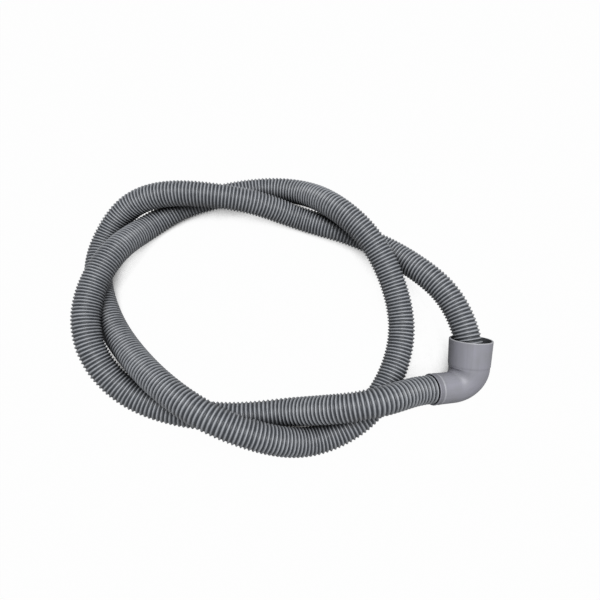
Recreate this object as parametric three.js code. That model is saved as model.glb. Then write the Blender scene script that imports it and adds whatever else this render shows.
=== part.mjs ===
// Washing machine drain hose: a corrugated hose laid in two loops, with a right-angle elbow on one end
// and its free end tucked into the elbow's mouth. Millimetres, +Z up, the floor is z = 0.
import * as THREE from 'three';
import { NURBSCurve } from 'three/addons/curves/NURBSCurve.js';

// Hose
const hoseOuter = 29;            // across the corrugation's crests
const hoseSides = 12;
const hoseStep = 26;             // longest step along the route
const jointClearance = 0.3;      // left between the hose and what it is pushed into
const straightRun = 22;          // leaves the collar straight for about this far

// Elbow, measured from the corner where its two axes meet
const mouthBore = 40;            // at the rim, fits over a 40 mm pipe
const mouthWall = 1.8;
const mouthReach = 50;           // corner to the mouth's rim
const mouthDepth = 27;           // rim to the pipe stop
const pipeStop = 2.4;            // width of that stop
const socketTaper = 0.7;         // the socket's radius is less by this at its foot, inside and out
const shoulderStep = 0.5;        // its foot stands proud of the bend by this
const shoulderRun = 1.6;         // length of the slope between them
const bendRadius = 21.2;         // of the bend's centreline
const collarWall = 1.3;
const collarReach = 46;          // corner to the collar's face
const collarDepth = 20;          // how far the hose is pushed in
const hoseStop = 3;              // width of the stop that the hose meets
const rimRound = 0.5;            // rounding of the rims' outer edges
const elbowSides = 40;
const bendSteps = 12;

// How the elbow lies: bearings are from +X towards +Y, rises are above the floor, in degrees
const cornerAt = [204, -76.5];
const mouthBearing = 92.6;
const mouthRise = 27.4;
const collarBearing = 191.8;
const collarRise = 17.3;

// The free end in the elbow's mouth: how far left of its axis and below it, at the rim and at the end
const tuckRim = [2.1, 1.1];
const tuckEnd = [0.8, -0.6];
const tuckDepth = 14;

// The hose's lay between the collar and the mouth: the points that pull its centreline round the loops
const laidRoute = [
  [105, -106, 52],
  [59, -115, 43],
  [15, -116, 12],
  [-36, -127, 18],
  [-97, -126, 13],
  [-154, -110, 18],
  [-191, -71, 38],
  [-201, -18, 46],
  [-184, 40, 44],
  [-168, 79, 14],
  [-132, 115, 14],
  [-81, 132, 19],
  [-31, 149, 15],
  [20, 141, 25],
  [54, 109, 50],
  [95, 75, 48],
  [123, 29, 33],
  [138, -23, 20],
  [124, -78, 13],
  [93, -122, 17],
  [44, -147, 13],
  [-1, -147, 38],
  [-55, -133, 48],
  [-104, -107, 41],
  [-146, -75, 25],
  [-184, -37, 14],
  [-212, 17, 15],
  [-211, 66, 15],
  [-185, 103, 33],
  [-140, 114, 46],
  [-86, 115, 45],
  [-33, 116, 34],
  [14, 112, 9],
  [63, 96, 21],
  [113, 82, 13],
  [148, 49, 32],
  [187, 12, 41],
];

const mouthOuter = mouthBore + 2 * mouthWall;
const collarBore = hoseOuter + 2 * jointClearance;
const collarOuter = collarBore + 2 * collarWall;
const bendLength = bendRadius * Math.PI / 2;

function aim(bearing, rise) {
  const b = THREE.MathUtils.degToRad(bearing);
  const r = THREE.MathUtils.degToRad(rise);
  return new THREE.Vector3(Math.cos(r) * Math.cos(b), Math.cos(r) * Math.sin(b), Math.sin(r));
}

// The elbow's wall as a closed profile along a straight axis: radius, and distance from the start of
// the bend, with the mouth leg below zero and the collar leg past the bend's length.
function elbowProfile() {
  const rimAt = -(mouthReach - bendRadius);
  const faceAt = bendLength + collarReach - bendRadius;
  const stopAt = rimAt + mouthDepth;
  const seatAt = faceAt - collarDepth;
  const footRadius = mouthOuter / 2 - socketTaper;
  const bodyRadius = footRadius - shoulderStep;
  const boreFoot = mouthBore / 2 - socketTaper;
  const throat = boreFoot - pipeStop;
  const waterway = collarBore / 2 - hoseStop;
  const points = [];
  const wall = (radius, along) => points.push(new THREE.Vector2(radius, along));

  // outer wall, from the mouth's rim to the collar's face
  wall(mouthOuter / 2 - rimRound, rimAt);
  wall(mouthOuter / 2, rimAt + rimRound);
  wall(footRadius, -2 * shoulderRun);
  wall(bodyRadius, -shoulderRun);
  for (let i = 0; i <= bendSteps; i++) {
    const t = i / bendSteps;
    wall(THREE.MathUtils.lerp(bodyRadius, collarOuter / 2, THREE.MathUtils.smoothstep(t, 0, 1)), t * bendLength);
  }
  wall(collarOuter / 2, faceAt - rimRound);
  wall(collarOuter / 2 - rimRound, faceAt);

  // inner wall, back from the collar's face to the rim
  wall(collarBore / 2, faceAt);
  wall(collarBore / 2, seatAt);
  wall(waterway, seatAt);
  for (let i = bendSteps; i >= 0; i--) {
    const t = i / bendSteps;
    wall(THREE.MathUtils.lerp(throat, waterway, THREE.MathUtils.smoothstep(t, 0, 1)), t * bendLength);
  }
  wall(throat, stopAt);
  wall(boreFoot, stopAt);
  wall(mouthBore / 2, rimAt);
  points.push(points[0].clone());
  return points;
}

// Bends a turned shape round the corner, so that its mouth leg lies along +Z and its collar leg along +X
function bendRound(geometry) {
  const position = geometry.attributes.position;
  const p = new THREE.Vector3();
  for (let i = 0; i < position.count; i++) {
    p.fromBufferAttribute(position, i);
    const along = p.y;
    const angle = THREE.MathUtils.clamp(along / bendRadius, 0, Math.PI / 2);
    const past = along - angle * bendRadius;
    const out = bendRadius - p.x;
    position.setXYZ(
      i,
      bendRadius - out * Math.cos(angle) + past * Math.sin(angle),
      p.z,
      bendRadius - out * Math.sin(angle) - past * Math.cos(angle),
    );
  }
  return geometry;
}

const elbowMaterial = new THREE.MeshStandardMaterial({ color: 0x8f9094, roughness: 0.5, metalness: 0 });
const hoseMaterial = new THREE.MeshStandardMaterial({ color: 0x7c7e82, roughness: 0.45, metalness: 0 });

const elbow = new THREE.Mesh(bendRound(new THREE.LatheGeometry(elbowProfile(), elbowSides)), elbowMaterial);
elbow.name = 'elbow';

// The elbow lies on its heel
const mouthAim = aim(mouthBearing, mouthRise);
const acrossAim = new THREE.Vector3().crossVectors(mouthAim, aim(collarBearing, collarRise)).normalize();
const collarAim = new THREE.Vector3().crossVectors(acrossAim, mouthAim);
elbow.quaternion.setFromRotationMatrix(new THREE.Matrix4().makeBasis(collarAim, acrossAim, mouthAim));
elbow.position.set(cornerAt[0], cornerAt[1], 0);
elbow.position.z = -new THREE.Box3().setFromObject(elbow, true).min.z;

// The hose starts on its stop in the collar, leaves straight, and ends inside the mouth
const alongCollar = (reach) => elbow.position.clone().addScaledVector(collarAim, reach);
const upAim = new THREE.Vector3(0, 0, 1).addScaledVector(mouthAim, -mouthAim.z).normalize();
const leftAim = new THREE.Vector3().crossVectors(upAim, mouthAim);
const inMouth = (left, down, depth) => elbow.position.clone()
  .addScaledVector(mouthAim, mouthReach - depth)
  .addScaledVector(leftAim, left)
  .addScaledVector(upAim, -down);

const pulls = [
  alongCollar(collarReach - collarDepth + jointClearance),
  alongCollar(collarReach - collarDepth / 2),
  alongCollar(collarReach),
  alongCollar(collarReach + straightRun),
  ...laidRoute.map((point) => new THREE.Vector3(...point)),
  inMouth(...tuckRim, 0),
  inMouth(...tuckEnd, tuckDepth),
];

// One smooth curve, cubic all the way, that starts at the first point and ends at the last
const degree = 3;
const spans = pulls.length - degree;
const knots = [0, 0, 0, ...Array.from({ length: spans + 1 }, (_, i) => i / spans), 1, 1, 1];
const route = new NURBSCurve(degree, knots, pulls.map((p) => new THREE.Vector4(p.x, p.y, p.z, 1)));

const hoseSection = new THREE.Shape();
for (let i = 0; i < hoseSides; i++) {
  const turn = i / hoseSides * 2 * Math.PI;
  const x = hoseOuter / 2 * Math.cos(turn);
  const y = hoseOuter / 2 * Math.sin(turn);
  if (i === 0) hoseSection.moveTo(x, y);
  else hoseSection.lineTo(x, y);
}
hoseSection.closePath();

const hose = new THREE.Mesh(
  new THREE.ExtrudeGeometry(hoseSection, {
    extrudePath: route,
    steps: Math.ceil(route.getLength() / hoseStep),
    bevelEnabled: false,
  }),
  hoseMaterial,
);
hose.name = 'drain_hose';

const drainHose = new THREE.Group();
drainHose.add(hose, elbow);

export default drainHose;
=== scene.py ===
# Washing machine drain hose: a corrugated hose laid in two loops, a right-angle elbow on one end of it,
# and its free end tucked into the elbow's mouth
import math

import bmesh
import bpy
from mathutils import Matrix, Vector


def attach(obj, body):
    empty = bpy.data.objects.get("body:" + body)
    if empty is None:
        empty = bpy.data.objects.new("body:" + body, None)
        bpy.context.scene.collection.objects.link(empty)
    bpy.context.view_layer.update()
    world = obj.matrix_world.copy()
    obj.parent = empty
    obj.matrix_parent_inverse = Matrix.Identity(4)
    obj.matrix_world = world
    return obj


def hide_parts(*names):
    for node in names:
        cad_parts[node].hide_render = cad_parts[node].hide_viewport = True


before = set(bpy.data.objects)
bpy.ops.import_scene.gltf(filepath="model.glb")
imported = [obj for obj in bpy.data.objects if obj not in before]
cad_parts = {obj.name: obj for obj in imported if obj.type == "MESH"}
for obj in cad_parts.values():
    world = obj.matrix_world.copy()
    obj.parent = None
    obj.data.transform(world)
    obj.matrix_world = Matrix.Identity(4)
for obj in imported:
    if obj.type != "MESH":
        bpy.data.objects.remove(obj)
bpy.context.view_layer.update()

mm = 0.001


def linearColour(hexCode):
    channels = [int(hexCode[i:i + 2], 16) / 255 for i in (1, 3, 5)]
    return tuple(c / 12.92 if c <= 0.04045 else ((c + 0.055) / 1.055) ** 2.4 for c in channels) + (1,)


def addNode(tree, kind, values=None, links=None, **settings):
    node = tree.nodes.new(kind)
    for name, value in settings.items():
        setattr(node, name, value)
    for socket, value in (values or {}).items():
        node.inputs[socket].default_value = value
    for socket, source in (links or {}).items():
        tree.links.new(source, node.inputs[socket])
    return node


# Camera

cameraView = {
    "place": (0.0215, -0.1612, 0.4662),
    "lookDown": 69.7,        # degrees below the horizon
    "roll": -4.1,
    "focalPixels": 430,
    "frameWidth": 600,
}


def makeCamera():
    data = bpy.data.cameras.new("photoCamera")
    data.sensor_width = 36
    data.lens = 36 * cameraView["focalPixels"] / cameraView["frameWidth"]
    camera = bpy.data.objects.new("photoCamera", data)
    bpy.context.collection.objects.link(camera)
    down = math.radians(cameraView["lookDown"])
    roll = math.radians(cameraView["roll"])
    forward = Vector((0, math.cos(down), -math.sin(down)))
    level = Vector((1, 0, 0))
    below = forward.cross(level)
    right = level * math.cos(roll) + below * math.sin(roll)
    lower = below * math.cos(roll) - level * math.sin(roll)
    turn = Matrix((right, -lower, -forward)).transposed().to_4x4()
    camera.matrix_world = Matrix.Translation(cameraView["place"]) @ turn
    bpy.context.scene.camera = camera


makeCamera()
print("camera placed")


# The elbow's sizes and how it lies, in millimetres and degrees; the hose starts and ends in it

elbowSizes = {
    "corner": (204, -76.5, 13.495),    # where its two axes meet
    "mouthBearing": 92.6,
    "mouthRise": 27.4,
    "collarBearing": 191.8,
    "collarRise": 17.3,
    "mouthBore": 40,         # at the rim
    "mouthWall": 1.8,
    "mouthReach": 50,
    "mouthDepth": 27,
    "pipeStop": 2.4,
    "socketTaper": 0.7,      # the socket draws in by this from rim to foot, inside and out
    "shoulderStep": 0.5,
    "shoulderRun": 1.6,
    "bendRadius": 21.2,
    "collarBore": 29.6,
    "collarWall": 1.3,
    "collarReach": 46,
    "collarDepth": 20,
    "hoseStop": 3,
    "bandWidth": 5.2,        # the collar's end band
    "bandSink": 0.4,         # it lies this much lower than the bead behind it
    "beadWidth": 2.2,
    "legSink": 0.2,          # and the leg this much lower
    "beadFeet": (0.12, 0.1), # how far the bead's feet rise, on the leg and on the band
    "lip": ((0.4, 2.4), (0.1, 1.6), (0, 1.1)),     # the band's end: below the bead, back from the face
    "rimRound": 0.5,
    "boreRound": 0.2,        # the mouth's inner edge
    "sides": 112,
    "bendSteps": 36,
    "shoulderSteps": 12,
    "edgeGaps": (0.5, 0.4),  # first ring past the rim's rounding and past the bead, so both shade crisply
    "sharpAngle": 50,        # edges that turn more than this stay crisp
}


def aim(bearing, rise):
    b, r = math.radians(bearing), math.radians(rise)
    return Vector((math.cos(r) * math.cos(b), math.cos(r) * math.sin(b), math.sin(r)))


corner = Vector(elbowSizes["corner"])
mouthAim = aim(elbowSizes["mouthBearing"], elbowSizes["mouthRise"])
acrossAim = mouthAim.cross(aim(elbowSizes["collarBearing"], elbowSizes["collarRise"])).normalized()
collarAim = acrossAim.cross(mouthAim)
upAim = (Vector((0, 0, 1)) - mouthAim * mouthAim.z).normalized()
leftAim = upAim.cross(mouthAim)


# Hose: its lay first

hoseSizes = {
    "outer": 29,             # across the crests, mm
    "ribPitch": 3.88,        # on average
    "ribDepth": 1.8,
    "bore": 22,
    "cuffLength": 5,         # the plain end
    # the cuff's colour follows this height on the grooves' painted shade; kept low so the end inside the
    # mouth looks shaded
    "cuffHeight": 0.3,       # where the cuff lies between groove and crest
    "sides": 28,
    "ringsPerRib": 6,
    "boreStep": 10,
    "seat": 26.3,            # its start, from the elbow's corner
    "straightRun": 22,       # leaves the collar straight for about this far
    "tuckRim": (2.1, 1.1),   # the free end, left of the mouth's axis and below it: at the rim
    "tuckEnd": (0.8, -0.6),  # and at its end
    "tuckDepth": 14,
    "length": 2.0,           # m
}

# one rib from groove to groove: share of its width, share of its height
ribProfile = [(0.17, 0.14), (0.34, 0.66), (0.5, 1), (0.66, 0.66), (0.83, 0.14)]

# where the ribs are pressed together or drawn out: share of the ribs passed, share of the length passed
ribSpread = [(0.039, 0.045), (0.069, 0.0745), (0.102, 0.112), (0.154, 0.169), (0.2, 0.2135), (0.25, 0.256),
             (0.279, 0.283), (0.342, 0.348), (0.388, 0.397), (0.424, 0.432), (0.49, 0.4965), (0.57, 0.576),
             (0.597, 0.603), (0.627, 0.636), (0.683, 0.69), (0.7435, 0.745), (0.795, 0.794), (0.875, 0.874),
             (0.942, 0.943)]

laidRoute = [
    (0.105, -0.106, 0.052),
    (0.059, -0.115, 0.043),
    (0.015, -0.116, 0.012),
    (-0.036, -0.127, 0.018),
    (-0.097, -0.126, 0.013),
    (-0.154, -0.110, 0.018),
    (-0.191, -0.071, 0.038),
    (-0.201, -0.018, 0.046),
    (-0.184, 0.040, 0.044),
    (-0.168, 0.079, 0.014),
    (-0.132, 0.115, 0.014),
    (-0.081, 0.132, 0.019),
    (-0.031, 0.149, 0.015),
    (0.020, 0.141, 0.025),
    (0.054, 0.109, 0.050),
    (0.095, 0.075, 0.048),
    (0.123, 0.029, 0.033),
    (0.138, -0.023, 0.020),
    (0.124, -0.078, 0.013),
    (0.093, -0.122, 0.017),
    (0.044, -0.147, 0.013),
    (-0.001, -0.147, 0.038),
    (-0.055, -0.133, 0.048),
    (-0.104, -0.107, 0.041),
    (-0.146, -0.075, 0.025),
    (-0.184, -0.037, 0.014),
    (-0.212, 0.017, 0.015),
    (-0.211, 0.066, 0.015),
    (-0.185, 0.103, 0.033),
    (-0.140, 0.114, 0.046),
    (-0.086, 0.115, 0.045),
    (-0.033, 0.116, 0.034),
    (0.014, 0.112, 0.009),
    (0.063, 0.096, 0.021),
    (0.113, 0.082, 0.013),
    (0.148, 0.049, 0.032),
    (0.187, 0.012, 0.041),
]


def inMouth(left, down, depth):
    return (corner + mouthAim * (elbowSizes["mouthReach"] - depth) + leftAim * left - upAim * down) * mm


def routePulls():
    reach = elbowSizes["collarReach"]
    halfway = reach - elbowSizes["collarDepth"] / 2
    inCollar = [hoseSizes["seat"], halfway, reach, reach + hoseSizes["straightRun"]]
    pulls = [(corner + collarAim * along) * mm for along in inCollar]
    pulls += [Vector(point) for point in laidRoute]
    pulls.append(inMouth(*hoseSizes["tuckRim"], 0))
    pulls.append(inMouth(*hoseSizes["tuckEnd"], hoseSizes["tuckDepth"]))
    return pulls


def makeRoute():
    data = bpy.data.curves.new("hoseRoute", "CURVE")
    data.dimensions = "3D"
    data.resolution_u = 16
    pulls = routePulls()
    spline = data.splines.new("NURBS")
    spline.points.add(len(pulls) - 1)
    for point, pull in zip(spline.points, pulls):
        point.co = (*pull, 1)
    spline.order_u = 4
    spline.use_endpoint_u = True
    route = bpy.data.objects.new("hoseRoute", data)
    bpy.context.collection.objects.link(route)
    return route


def centreline(route):
    bpy.context.view_layer.update()
    evaluated = route.evaluated_get(bpy.context.evaluated_depsgraph_get())
    points = [tuple(vertex.co) for vertex in evaluated.to_mesh().vertices]
    evaluated.to_mesh_clear()
    return points


# Materials

def newMaterial(name):
    material = bpy.data.materials.new(name)
    material.use_nodes = True
    material.node_tree.nodes.clear()
    return material, material.node_tree


# Polypropylene, blow-moulded: satin skin; the grooves painted darker than the crests as painted shade, and
# more painted shade in the grooves, near the floor and where two lengths lie against each other
hoseColours = {
    # colour by rib height: the dark groove end is painted shade, the crest end the plastic's own grey
    "crest": "#9fa2a7",
    "groove": "#3a3d42",
    "grooveUpTo": 0.12,      # shares of the rib's height
    "crestFrom": 0.92,
    "contactShade": "#17181b",
    "nook": 16,              # mm, how near another length must lie to throw painted shade
    "allShade": 0.1,         # shares of open air round a spot
    "noShade": 0.72,
    "mottle": 6,             # mm
    "mottleSwing": 0.1,      # as a share of the rib's height
    "grain": 0.35,           # mm
    "grainHeight": 0.05,     # mm
    "grainStrength": 0.15,
    "glossiest": 0.36,       # roughness
    "dullest": 0.5,
}


def makePolypropylene():
    material, tree = newMaterial("blowMouldedPolypropylene")
    place = addNode(tree, "ShaderNodeTexCoord")
    height = addNode(tree, "ShaderNodeAttribute", attribute_name="ribHeight")
    mottle = addNode(tree, "ShaderNodeTexNoise", {"Scale": 1 / (hoseColours["mottle"] * mm), "Detail": 3},
                     {"Vector": place.outputs["Object"]})
    swing = hoseColours["mottleSwing"]
    shade = addNode(tree, "ShaderNodeMapRange",
                    {"From Min": 0.3, "From Max": 0.7, "To Min": -swing, "To Max": swing},
                    {"Value": mottle.outputs["Fac"]})
    lift = addNode(tree, "ShaderNodeMath", {}, {0: height.outputs["Fac"], 1: shade.outputs["Result"]})
    # painted shade: grooves darker than crests, by rib height
    ramp = addNode(tree, "ShaderNodeValToRGB", {}, {"Fac": lift.outputs[0]})
    stops = ramp.color_ramp.elements
    stops[0].position, stops[0].color = hoseColours["grooveUpTo"], linearColour(hoseColours["groove"])
    stops[1].position, stops[1].color = hoseColours["crestFrom"], linearColour(hoseColours["crest"])
    # painted shade where the hose is closed in: in the grooves, near the floor, and where two lengths lie
    # against each other
    nook = addNode(tree, "ShaderNodeAmbientOcclusion", {"Distance": hoseColours["nook"] * mm}, samples=8)
    unshaded = addNode(tree, "ShaderNodeMapRange",
                    {"From Min": hoseColours["allShade"], "From Max": hoseColours["noShade"]},
                    {"Value": nook.outputs["AO"]})
    contactShaded = addNode(tree, "ShaderNodeMix", {6: linearColour(hoseColours["contactShade"])},
                     {"Factor": unshaded.outputs["Result"], 7: ramp.outputs["Color"]}, data_type="RGBA")
    grain = addNode(tree, "ShaderNodeTexNoise", {"Scale": 1 / (hoseColours["grain"] * mm), "Detail": 2},
                    {"Vector": place.outputs["Object"]})
    bump = addNode(tree, "ShaderNodeBump",
                   {"Strength": hoseColours["grainStrength"], "Distance": hoseColours["grainHeight"] * mm},
                   {"Height": grain.outputs["Fac"]})
    gloss = addNode(tree, "ShaderNodeMapRange",
                    {"To Min": hoseColours["glossiest"], "To Max": hoseColours["dullest"]},
                    {"Value": mottle.outputs["Fac"]})
    surface = addNode(tree, "ShaderNodeBsdfPrincipled", {"IOR": 1.49},
                      {"Base Color": contactShaded.outputs[2], "Roughness": gloss.outputs["Result"],
                       "Normal": bump.outputs["Normal"]})
    addNode(tree, "ShaderNodeOutputMaterial", {}, {"Surface": surface.outputs["BSDF"]})
    return material


# Soft PVC, injection-moulded: smooth with a low sheen, faint flow streaks down the socket, a slight bloom,
# painted shade in the bore and on the collar's band, and painted highlights on the lips and the bead
elbowColours = {
    "body": "#8b8c90",
    "bloom": "#9594a1",
    "streak": "#838488",
    "bore": "#404145",       # painted shade in the bore
    "edge": "#b6b7bb",       # painted highlight on the lips and the bead
    "rimHighlight": (0.9, 0.6),    # share of that on the mouth's rim and just outside it
    "boreRimHighlight": 0.5,
    "beadHighlight": 0.35,
    "bandShade": 0.25,        # share of the bore's painted shade on the collar's band
    "cloud": 14,             # mm
    "streakWidth": 3,        # mm
    "streakDraw": 0.06,      # width of a streak as a share of its length
    "streakMost": 0.5,
    "grain": 0.3,            # mm
    "grainHeight": 0.05,     # mm
    "grainStrength": 0.12,
    "glossiest": 0.42,       # roughness
    "dullest": 0.58,
}


def makeSoftPvc():
    material, tree = newMaterial("mouldedSoftPvc")
    place = addNode(tree, "ShaderNodeTexCoord")
    cloud = addNode(tree, "ShaderNodeTexNoise", {"Scale": 1 / (elbowColours["cloud"] * mm), "Detail": 3},
                    {"Vector": place.outputs["Object"]})
    around = addNode(tree, "ShaderNodeAttribute", attribute_name="aroundAlong")
    stretch = addNode(tree, "ShaderNodeMapping", {"Scale": (1, elbowColours["streakDraw"], 1)},
                      {"Vector": around.outputs["Vector"]})
    streak = addNode(tree, "ShaderNodeTexNoise",
                     {"Scale": 1 / (elbowColours["streakWidth"] * mm), "Detail": 2},
                     {"Vector": stretch.outputs["Vector"]})
    faint = addNode(tree, "ShaderNodeMapRange",
                    {"From Min": 0.45, "From Max": 0.75, "To Max": elbowColours["streakMost"]},
                    {"Value": streak.outputs["Fac"]})
    # painted shade in the bore and on the collar's band, from the wall's attribute
    shadeShare = addNode(tree, "ShaderNodeAttribute", attribute_name="paintedShade")
    # painted highlight on the lips and the bead, from the wall's attribute
    highlightShare = addNode(tree, "ShaderNodeAttribute", attribute_name="paintedHighlight")
    colour = addNode(tree, "ShaderNodeMix",
                     {6: linearColour(elbowColours["body"]), 7: linearColour(elbowColours["bloom"])},
                     {"Factor": cloud.outputs["Fac"]}, data_type="RGBA")
    for amount, over in ((faint.outputs["Result"], "streak"), (shadeShare.outputs["Fac"], "bore"),
                         (highlightShare.outputs["Fac"], "edge")):
        colour = addNode(tree, "ShaderNodeMix", {7: linearColour(elbowColours[over])},
                         {"Factor": amount, 6: colour.outputs[2]}, data_type="RGBA")
    grain = addNode(tree, "ShaderNodeTexNoise", {"Scale": 1 / (elbowColours["grain"] * mm), "Detail": 2},
                    {"Vector": place.outputs["Object"]})
    bump = addNode(tree, "ShaderNodeBump",
                   {"Strength": elbowColours["grainStrength"], "Distance": elbowColours["grainHeight"] * mm},
                   {"Height": grain.outputs["Fac"]})
    gloss = addNode(tree, "ShaderNodeMapRange",
                    {"To Min": elbowColours["glossiest"], "To Max": elbowColours["dullest"]},
                    {"Value": cloud.outputs["Fac"]})
    surface = addNode(tree, "ShaderNodeBsdfPrincipled", {"IOR": 1.52},
                      {"Base Color": colour.outputs[2], "Roughness": gloss.outputs["Result"],
                       "Normal": bump.outputs["Normal"]})
    addNode(tree, "ShaderNodeOutputMaterial", {}, {"Surface": surface.outputs["BSDF"]})
    return material


# Hose: its ribs

def hoseTree(material):
    tree = bpy.data.node_groups.new("corrugatedHose", "GeometryNodeTree")
    tree.interface.new_socket("Route", in_out="INPUT", socket_type="NodeSocketGeometry")
    inputs = []
    for name, kind, value in (
            ("Crest radius", "Float", hoseSizes["outer"] / 2 * mm),
            ("Rib depth", "Float", hoseSizes["ribDepth"] * mm),
            ("Rib pitch", "Float", hoseSizes["ribPitch"] * mm),
            ("Bore radius", "Float", hoseSizes["bore"] / 2 * mm),
            ("Bore step", "Float", hoseSizes["boreStep"] * mm),
            ("Cuff length", "Float", hoseSizes["cuffLength"] * mm),
            ("Cuff height", "Float", hoseSizes["cuffHeight"]),
            ("Sides", "Int", hoseSizes["sides"]),
            ("Rings per rib", "Int", hoseSizes["ringsPerRib"]),
            ("Plastic", "Material", material)):
        socket = tree.interface.new_socket(name, in_out="INPUT", socket_type="NodeSocket" + kind)
        inputs.append((socket, value))
    tree.interface.new_socket("Hose", in_out="OUTPUT", socket_type="NodeSocketGeometry")

    given = addNode(tree, "NodeGroupInput").outputs
    whole = addNode(tree, "GeometryNodeCurveLength", {}, {0: given["Route"]})
    pitches = addNode(tree, "ShaderNodeMath", {}, {0: whole.outputs[0], 1: given["Rib pitch"]},
                      operation="DIVIDE")
    ribs = addNode(tree, "ShaderNodeMath", {}, {0: pitches.outputs[0]}, operation="ROUND")
    rings = addNode(tree, "ShaderNodeMath", {2: 1}, {0: ribs.outputs[0], 1: given["Rings per rib"]},
                    operation="MULTIPLY_ADD")
    evenLine = addNode(tree, "GeometryNodeResampleCurve", {},
                       {"Curve": given["Route"], "Count": rings.outputs[0]})

    # the rings move along the route to where the ribs lie closer or wider
    index = addNode(tree, "GeometryNodeInputIndex")
    last = addNode(tree, "ShaderNodeMath", {}, {0: ribs.outputs[0], 1: given["Rings per rib"]},
                   operation="MULTIPLY")
    passed = addNode(tree, "ShaderNodeMath", {}, {0: index.outputs[0], 1: last.outputs[0]},
                     operation="DIVIDE")
    spread = addNode(tree, "ShaderNodeFloatCurve", {}, {"Value": passed.outputs[0]})
    for share in ribSpread:
        spread.mapping.curves[0].points.new(*share)
    spread.mapping.update()
    spot = addNode(tree, "GeometryNodeSampleCurve", {},
                   {"Curves": given["Route"], "Factor": spread.outputs[0]}, mode="FACTOR")
    ringLine = addNode(tree, "GeometryNodeSetPosition", {},
                       {"Geometry": evenLine.outputs[0], "Position": spot.outputs["Position"]})

    # each rib runs from groove to crest and back over its rings
    turns = addNode(tree, "ShaderNodeMath", {}, {0: index.outputs[0], 1: given["Rings per rib"]},
                    operation="DIVIDE")
    phase = addNode(tree, "ShaderNodeMath", {}, {0: turns.outputs[0]}, operation="FRACT")
    ribShape = addNode(tree, "ShaderNodeFloatCurve", {}, {"Value": phase.outputs[0]})
    points = ribShape.mapping.curves[0].points
    points[0].location, points[1].location = (0, 0), (1, 0)
    for share in ribProfile:
        points.new(*share)
    ribShape.mapping.update()

    # plain cuff at both ends
    along = addNode(tree, "GeometryNodeSplineParameter")
    left = addNode(tree, "ShaderNodeMath", {}, {0: whole.outputs[0], 1: along.outputs["Length"]},
                   operation="SUBTRACT")
    nearEnd = addNode(tree, "ShaderNodeMath", {}, {0: along.outputs["Length"], 1: left.outputs[0]},
                      operation="MINIMUM")
    onCuff = addNode(tree, "ShaderNodeMath", {}, {0: nearEnd.outputs[0], 1: given["Cuff length"]},
                     operation="LESS_THAN")
    height = addNode(tree, "ShaderNodeMix", {},
                     {0: onCuff.outputs[0], 2: ribShape.outputs[0], 3: given["Cuff height"]})
    dip = addNode(tree, "ShaderNodeMath", {0: 1}, {1: height.outputs[0]}, operation="SUBTRACT")
    sink = addNode(tree, "ShaderNodeMath", {}, {0: dip.outputs[0], 1: given["Rib depth"]},
                   operation="MULTIPLY")
    radius = addNode(tree, "ShaderNodeMath", {}, {0: given["Crest radius"], 1: sink.outputs[0]},
                     operation="SUBTRACT")
    marked = addNode(tree, "GeometryNodeStoreNamedAttribute", {"Name": "ribHeight"},
                     {"Geometry": ringLine.outputs[0], "Value": height.outputs[0]})

    section = addNode(tree, "GeometryNodeCurvePrimitiveCircle", {"Radius": 1},
                      {"Resolution": given["Sides"]})
    skin = addNode(tree, "GeometryNodeCurveToMesh", {"Fill Caps": False},
                   {"Curve": marked.outputs[0], "Profile Curve": section.outputs[0],
                    "Scale": radius.outputs[0]})
    boreLine = addNode(tree, "GeometryNodeResampleCurve", {},
                       {"Curve": given["Route"], "Length": given["Bore step"]}, mode="LENGTH")
    bore = addNode(tree, "GeometryNodeCurveToMesh", {"Fill Caps": False},
                   {"Curve": boreLine.outputs[0], "Profile Curve": section.outputs[0],
                    "Scale": given["Bore radius"]})
    inside = addNode(tree, "GeometryNodeFlipFaces", {}, {"Mesh": bore.outputs[0]})
    both = addNode(tree, "GeometryNodeJoinGeometry")
    tree.links.new(inside.outputs[0], both.inputs[0])
    tree.links.new(skin.outputs[0], both.inputs[0])
    smooth = addNode(tree, "GeometryNodeSetShadeSmooth", {}, {"Geometry": both.outputs[0]})
    real = addNode(tree, "GeometryNodeRealizeInstances", {}, {"Geometry": smooth.outputs[0]})
    dressed = addNode(tree, "GeometryNodeSetMaterial", {},
                      {"Geometry": real.outputs[0], "Material": given["Plastic"]})
    addNode(tree, "NodeGroupOutput", {}, {0: dressed.outputs[0]})
    return tree, inputs


def closeEnds(mesh):
    shape = bmesh.new()
    shape.from_mesh(mesh)
    openEdges = [edge for edge in shape.edges if edge.is_boundary]
    startPoint = routePulls()[0]
    ends = ([], [])
    for edge in openEdges:
        middle = (edge.verts[0].co + edge.verts[1].co) / 2
        ends[0 if (middle - startPoint).length < hoseSizes["outer"] * mm else 1].append(edge)
    for loops in ends:
        bmesh.ops.bridge_loops(shape, edges=loops)
    shape.to_mesh(mesh)
    shape.free()


def makeHose():
    route = makeRoute()
    path = centreline(route)
    tree, inputs = hoseTree(makePolypropylene())
    modifier = route.modifiers.new("ribs", "NODES")
    modifier.node_group = tree
    for socket, value in inputs:
        modifier[socket.identifier] = value
    bpy.context.view_layer.update()
    graph = bpy.context.evaluated_depsgraph_get()
    mesh = bpy.data.meshes.new_from_object(route.evaluated_get(graph), preserve_all_data_layers=True,
                                           depsgraph=graph)
    route.modifiers.remove(modifier)
    bpy.data.objects.remove(route)
    closeEnds(mesh)
    hose = bpy.data.objects.new("corrugatedHose", mesh)
    bpy.context.collection.objects.link(hose)
    return hose, path


hose, hosePath = makeHose()
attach(hose, "root")
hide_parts("drain_hose")
print("hose laid:", len(hose.data.polygons), "faces")


# Elbow

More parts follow.
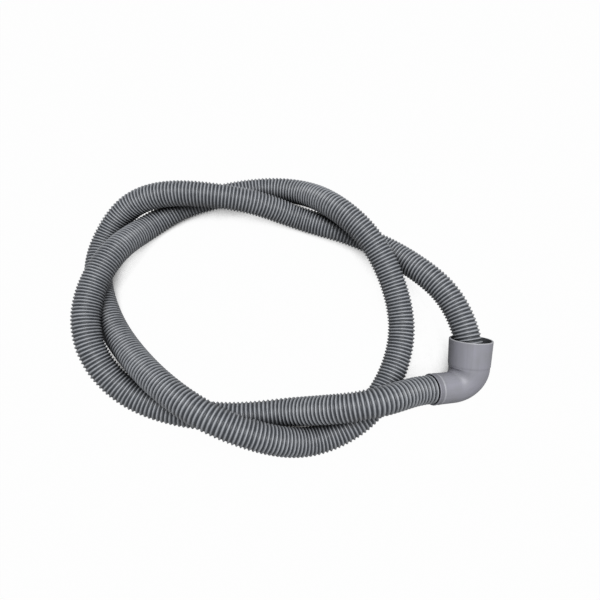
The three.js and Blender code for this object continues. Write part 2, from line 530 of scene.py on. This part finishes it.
def elbowWall():
    s = elbowSizes
    bendLength = s["bendRadius"] * math.pi / 2
    rimAt = -(s["mouthReach"] - s["bendRadius"])
    faceAt = bendLength + s["collarReach"] - s["bendRadius"]
    stopAt = rimAt + s["mouthDepth"]
    seatAt = faceAt - s["collarDepth"]
    mouthRadius = s["mouthBore"] / 2 + s["mouthWall"]
    footRadius = mouthRadius - s["socketTaper"]
    bodyRadius = footRadius - s["shoulderStep"]
    boreFoot = s["mouthBore"] / 2 - s["socketTaper"]
    collarRadius = s["collarBore"] / 2 + s["collarWall"]
    legRadius = collarRadius - s["legSink"]
    bandRadius = collarRadius - s["bandSink"]
    throat = boreFoot - s["pipeStop"]
    waterway = s["collarBore"] / 2 - s["hoseStop"]
    bandAt = faceAt - s["bandWidth"]
    bead = s["beadWidth"]
    legFoot, bandFoot = s["beadFeet"]
    lip = [(collarRadius - below, faceAt - back) for below, back in s["lip"]]
    rim = s["rimRound"]
    rimGap, beadGap = s["edgeGaps"]
    rimHighlight, besideHighlight = elbowColours["rimHighlight"]

    def ease(t):
        return t * t * (3 - 2 * t)

    def straight(radiusA, alongA, radiusB, alongB, steps):
        return [(radiusA + (radiusB - radiusA) * i / steps, alongA + (alongB - alongA) * i / steps)
                for i in range(steps)]

    def rounded(radius, along, turnFrom):
        return [(radius + rim * math.cos(math.radians(turnFrom + turn)),
                 along + rim * math.sin(math.radians(turnFrom + turn))) for turn in (0, 22.5, 45, 67.5)]

    def bend(radiusA, radiusB, steps):
        return [(radiusA + (radiusB - radiusA) * ease(i / s["bendSteps"]), i / s["bendSteps"] * bendLength)
                for i in steps]

    wall = []

    # each point carries its share of painted shade and of painted highlight
    def run(points, shadeShare=0, highlightShare=0):
        wall.extend((radius, along, shadeShare, highlightShare) for radius, along in points)

    # outer wall, from the mouth's rim over the shoulder and the bend
    # the rim's rounding, the rim's inner edge and the bead get a painted highlight
    run(rounded(mouthRadius - rim, rimAt + rim, 270), highlightShare=rimHighlight)
    run([(mouthRadius, rimAt + rim)], highlightShare=besideHighlight)
    run(straight(mouthRadius, rimAt + rim + rimGap, footRadius, -2 * s["shoulderRun"], 10))
    slope = [i / s["shoulderSteps"] for i in range(s["shoulderSteps"])]
    run([(footRadius - s["shoulderStep"] * ease(t), 2 * s["shoulderRun"] * (t - 1)) for t in slope])
    run(bend(bodyRadius, legRadius, range(s["bendSteps"])))

    # leg, bead, band and lip, to the collar's face
    run(straight(legRadius, bendLength, legRadius, bandAt - bead, 6))
    run([(legRadius, bandAt - bead)])
    run([(legRadius + legFoot, bandAt - 0.8 * bead), (collarRadius, bandAt - 0.6 * bead),
         (collarRadius, bandAt - 0.4 * bead), (bandRadius + bandFoot, bandAt - 0.1 * bead)],
        highlightShare=elbowColours["beadHighlight"])
    # the band takes part of the bore's painted shade
    run([(bandRadius, bandAt)] + straight(bandRadius, bandAt + beadGap, *lip[0], 4) + lip,
        shadeShare=elbowColours["bandShade"])
    run(rounded(collarRadius - rim, faceAt - rim, 0) + [(collarRadius - rim, faceAt)])

    # inner wall, back to the mouth
    # the whole bore takes the full painted shade
    run([(s["collarBore"] / 2, faceAt), (s["collarBore"] / 2, seatAt), (waterway, seatAt)], shadeShare=1)
    run(bend(throat, waterway, range(s["bendSteps"], -1, -1)), shadeShare=1)
    run([(throat, stopAt), (boreFoot, stopAt), (s["mouthBore"] / 2, rimAt + s["boreRound"])], shadeShare=1)
    run([(s["mouthBore"] / 2 + s["boreRound"], rimAt)], highlightShare=elbowColours["boreRimHighlight"])
    return wall


def roundTheCorner(radius, turn, along):
    bend = elbowSizes["bendRadius"]
    angle = min(max(along / bend, 0), math.pi / 2)
    past = along - angle * bend
    out = bend - radius * math.cos(turn)
    return (corner + collarAim * (bend - out * math.cos(angle) + past * math.sin(angle))
            + acrossAim * (radius * math.sin(turn))
            + mouthAim * (bend - out * math.sin(angle) - past * math.cos(angle))) * mm


def makeElbow():
    wall = elbowWall()
    sides = elbowSizes["sides"]
    shape = bmesh.new()
    flow = shape.verts.layers.float_vector.new("aroundAlong")
    paintedShade = shape.verts.layers.float.new("paintedShade")
    paintedHighlight = shape.verts.layers.float.new("paintedHighlight")
    rings = []
    for radius, along, shadeShare, highlightShare in wall:
        ring = []
        for i in range(sides):
            turn = 2 * math.pi * i / sides
            vertex = shape.verts.new(roundTheCorner(radius, turn, along))
            vertex[flow] = (math.cos(turn) * radius * mm, along * mm, math.sin(turn) * radius * mm)
            vertex[paintedShade] = shadeShare
            vertex[paintedHighlight] = highlightShare
            ring.append(vertex)
        rings.append(ring)
    for k, ring in enumerate(rings):
        ahead = rings[(k + 1) % len(rings)]
        for i in range(sides):
            j = (i + 1) % sides
            shape.faces.new((ring[i], ring[j], ahead[j], ahead[i])).smooth = True
    bmesh.ops.recalc_face_normals(shape, faces=shape.faces)
    mesh = bpy.data.meshes.new("elbow")
    shape.to_mesh(mesh)
    shape.free()
    mesh.set_sharp_from_angle(angle=math.radians(elbowSizes["sharpAngle"]))
    mesh.materials.append(makeSoftPvc())
    elbow = bpy.data.objects.new("elbowSocket", mesh)
    bpy.context.collection.objects.link(elbow)
    return elbow


elbow = makeElbow()
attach(elbow, "root")
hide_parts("elbow")
print("elbow made:", len(elbow.data.polygons), "faces")


# Floor and light

studio = {
    "floor": 6,              # m
    "paper": "#9a9a9a",      # what it throws back at the hose
    "glow": 0.98,            # how much of its look is plain white
    "shadeReach": 60,        # mm, how near a thing must be to shade it
    "black": 0.16,           # shares of open air over a spot, at which the floor
    "white": 0.37,           # looks black or plain white
    "sky": 0.2,
    "keyPlace": (0.15, 0, 1.6),
    "keySize": 0.8,          # m
    "keyPower": 28,          # W
}


def makeFloor():
    half = studio["floor"] / 2
    mesh = bpy.data.meshes.new("floor")
    corners = [(-half, -half, 0), (half, -half, 0), (half, half, 0), (-half, half, 0)]
    mesh.from_pydata(corners, [], [(0, 1, 2, 3)])
    material, tree = newMaterial("paperSweep")   # matt white paper, shaded only where the hose closes it in
    paper = addNode(tree, "ShaderNodeBsdfDiffuse", {"Color": linearColour(studio["paper"])})
    closed = addNode(tree, "ShaderNodeAmbientOcclusion", {"Distance": studio["shadeReach"] * mm},
                     samples=16)
    openness = addNode(tree, "ShaderNodeMapRange",
                       {"From Min": studio["black"], "From Max": studio["white"]},
                       {"Value": closed.outputs["AO"]})
    glow = addNode(tree, "ShaderNodeEmission", {}, {"Strength": openness.outputs["Result"]})
    rays = addNode(tree, "ShaderNodeLightPath")
    share = addNode(tree, "ShaderNodeMath", {1: studio["glow"]}, {0: rays.outputs["Is Camera Ray"]},
                    operation="MULTIPLY")
    mixed = addNode(tree, "ShaderNodeMixShader", {},
                    {0: share.outputs[0], 1: paper.outputs[0], 2: glow.outputs[0]})
    addNode(tree, "ShaderNodeOutputMaterial", {}, {"Surface": mixed.outputs[0]})
    mesh.materials.append(material)
    floor = bpy.data.objects.new("floor", mesh)
    bpy.context.collection.objects.link(floor)


def makeSky():
    world = bpy.data.worlds.new("softSky")
    bpy.context.scene.world = world
    world.use_nodes = True
    tree = world.node_tree
    tree.nodes.clear()
    rays = addNode(tree, "ShaderNodeLightPath")
    lit = addNode(tree, "ShaderNodeBackground", {"Color": (1, 1, 1, 1), "Strength": studio["sky"]})
    seen = addNode(tree, "ShaderNodeBackground", {"Color": (1, 1, 1, 1), "Strength": 1})
    mixed = addNode(tree, "ShaderNodeMixShader", {},
                    {0: rays.outputs["Is Camera Ray"], 1: lit.outputs[0], 2: seen.outputs[0]})
    addNode(tree, "ShaderNodeOutputWorld", {}, {"Surface": mixed.outputs[0]})


def addSoftbox(name, place, target, size, power):
    data = bpy.data.lights.new(name, "AREA")
    data.shape = "SQUARE"
    data.size = size
    data.energy = power
    lamp = bpy.data.objects.new(name, data)
    bpy.context.collection.objects.link(lamp)
    lamp.location = place
    lamp.rotation_euler = (Vector(target) - Vector(place)).to_track_quat("-Z", "Y").to_euler()


makeFloor()
makeSky()
addSoftbox("keySoftbox", studio["keyPlace"], (0, 0, 0), studio["keySize"], studio["keyPower"])
bpy.context.scene.view_settings.view_transform = "Standard"
print("studio lit")
